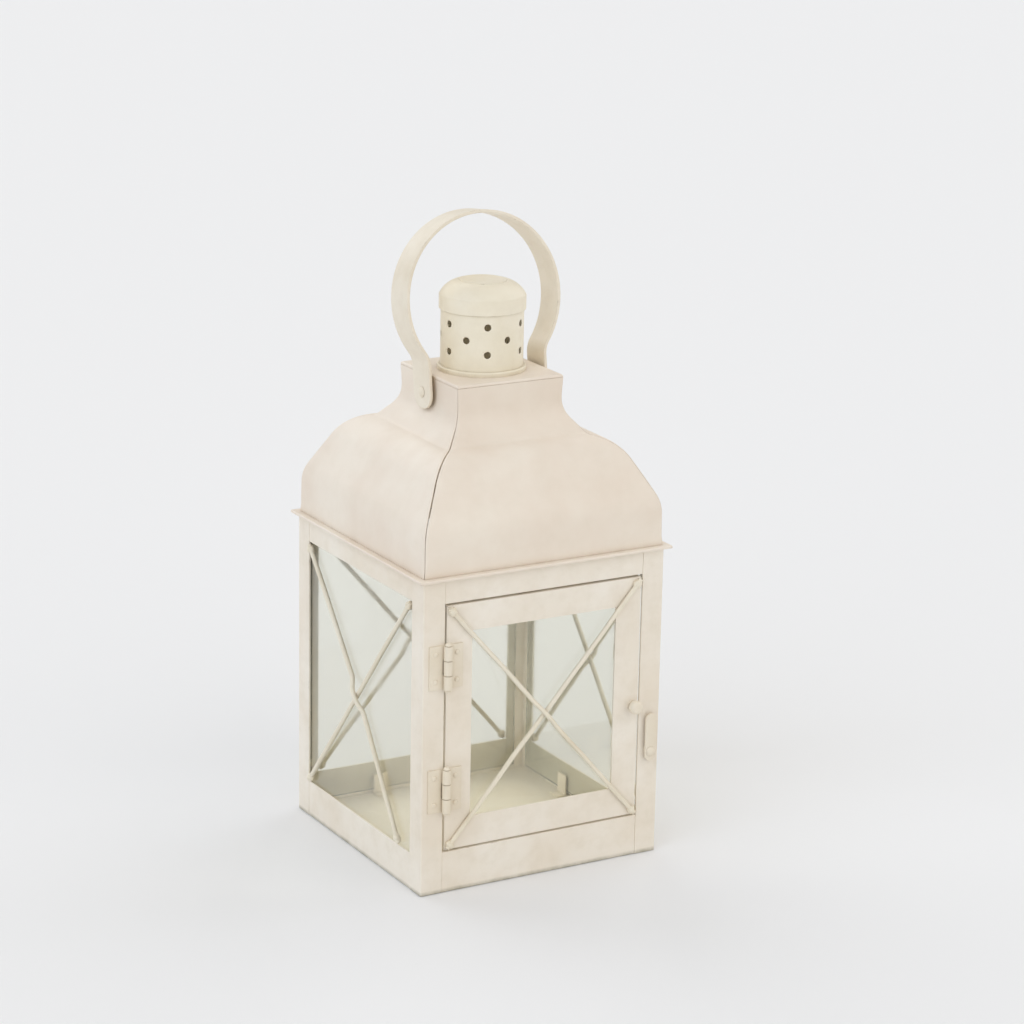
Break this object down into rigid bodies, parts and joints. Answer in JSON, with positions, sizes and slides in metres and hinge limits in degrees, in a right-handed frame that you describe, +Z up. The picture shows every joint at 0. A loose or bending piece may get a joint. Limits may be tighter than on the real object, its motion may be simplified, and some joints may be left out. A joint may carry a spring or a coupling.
{
  "type": "candle lantern",
  "caption": "Square cream painted metal candle lantern with four glazed sides, crossed guard wires, a hinged front door, bell-shaped roof, vented chimney and swinging ring handle.",
  "frame": {"origin": "middle of the underside of the body, on the surface the lantern stands on", "axes": "+Z up, -Y towards the door, +X to the door's latch side"},
  "size_m": [0.1318, 0.1344, 0.299],
  "materials": {
    "frame_paint": "satin cream enamel paint on folded steel sheet",
    "roof_paint": "satin cream enamel paint on pressed steel sheet",
    "floor_paint": "satin cream enamel paint, slightly soiled",
    "wire_paint": "satin cream enamel paint on steel wire",
    "fitting_paint": "satin cream enamel paint on small steel fittings",
    "clear_glass": "clear 2 mm sheet glass"
  },
  "bodies": {
    "lantern_body": {"bottom_rail_back": "frame_paint", "bottom_rail_front": "frame_paint", "bottom_rail_left": "frame_paint", "bottom_rail_right": "frame_paint", "chimney_cap": "roof_paint", "chimney_collar": "roof_paint", "chimney_tube": "roof_paint", "corner_post_back_left": "frame_paint", "corner_post_back_right": "frame_paint", "corner_post_front_left": "frame_paint", "corner_post_front_right": "frame_paint", "floor_plate": "floor_paint", "glass_back": "clear_glass", "glass_clips_back": "fitting_paint", "glass_clips_left": "fitting_paint", "glass_clips_right": "fitting_paint", "glass_left": "clear_glass", "glass_right": "clear_glass", "guard_wire_over_back": "wire_paint", "guard_wire_over_left": "wire_paint", "guard_wire_over_right": "wire_paint", "guard_wire_under_back": "wire_paint", "guard_wire_under_left": "wire_paint", "guard_wire_under_right": "wire_paint", "handle_rivets": "fitting_paint", "handle_spacers": "fitting_paint", "hinge_leaf_post_lower": "fitting_paint", "hinge_leaf_post_upper": "fitting_paint", "hinge_pin_lower": "fitting_paint", "hinge_pin_upper": "fitting_paint", "neck_plate": "roof_paint", "roof_brim": "roof_paint", "roof_panel_back": "roof_paint", "roof_panel_front": "roof_paint", "roof_panel_left": "roof_paint", "roof_panel_right": "roof_paint", "top_rail_back": "frame_paint", "top_rail_front": "frame_paint", "top_rail_left": "frame_paint", "top_rail_right": "frame_paint", "turn_button_rivet": "fitting_paint", "turn_button_washer": "fitting_paint"},
    "door": {"door_glass": "clear_glass", "door_glass_clips": "fitting_paint", "door_knob": "fitting_paint", "door_rail_bottom": "frame_paint", "door_rail_top": "frame_paint", "door_stile_left": "frame_paint", "door_stile_right": "frame_paint", "guard_wire_over_door": "wire_paint", "guard_wire_under_door": "wire_paint", "hinge_leaf_door_lower": "fitting_paint", "hinge_leaf_door_upper": "fitting_paint"},
    "handle": {"ring_handle": "fitting_paint"},
    "turn_button": {"turn_button": "fitting_paint"}
  },
  "joints": [
    {"name": "door_hinge", "type": "hinge", "parent": "lantern_body", "child": "door", "pos_m": [-0.051, -0.0649, 0.0784], "axis": [0, 0, -1], "range_deg": [0, 175]},
    {"name": "handle_swing", "type": "hinge", "parent": "lantern_body", "child": "handle", "pos_m": [0, 0, 0.218], "axis": [1, 0, 0], "range_deg": [-86, 102]},
    {"name": "turn_button_pivot", "type": "hinge", "parent": "lantern_body", "child": "turn_button", "pos_m": [0.057, -0.0638, 0.051], "axis": [0, -1, 0], "continuous": true}
  ]
}
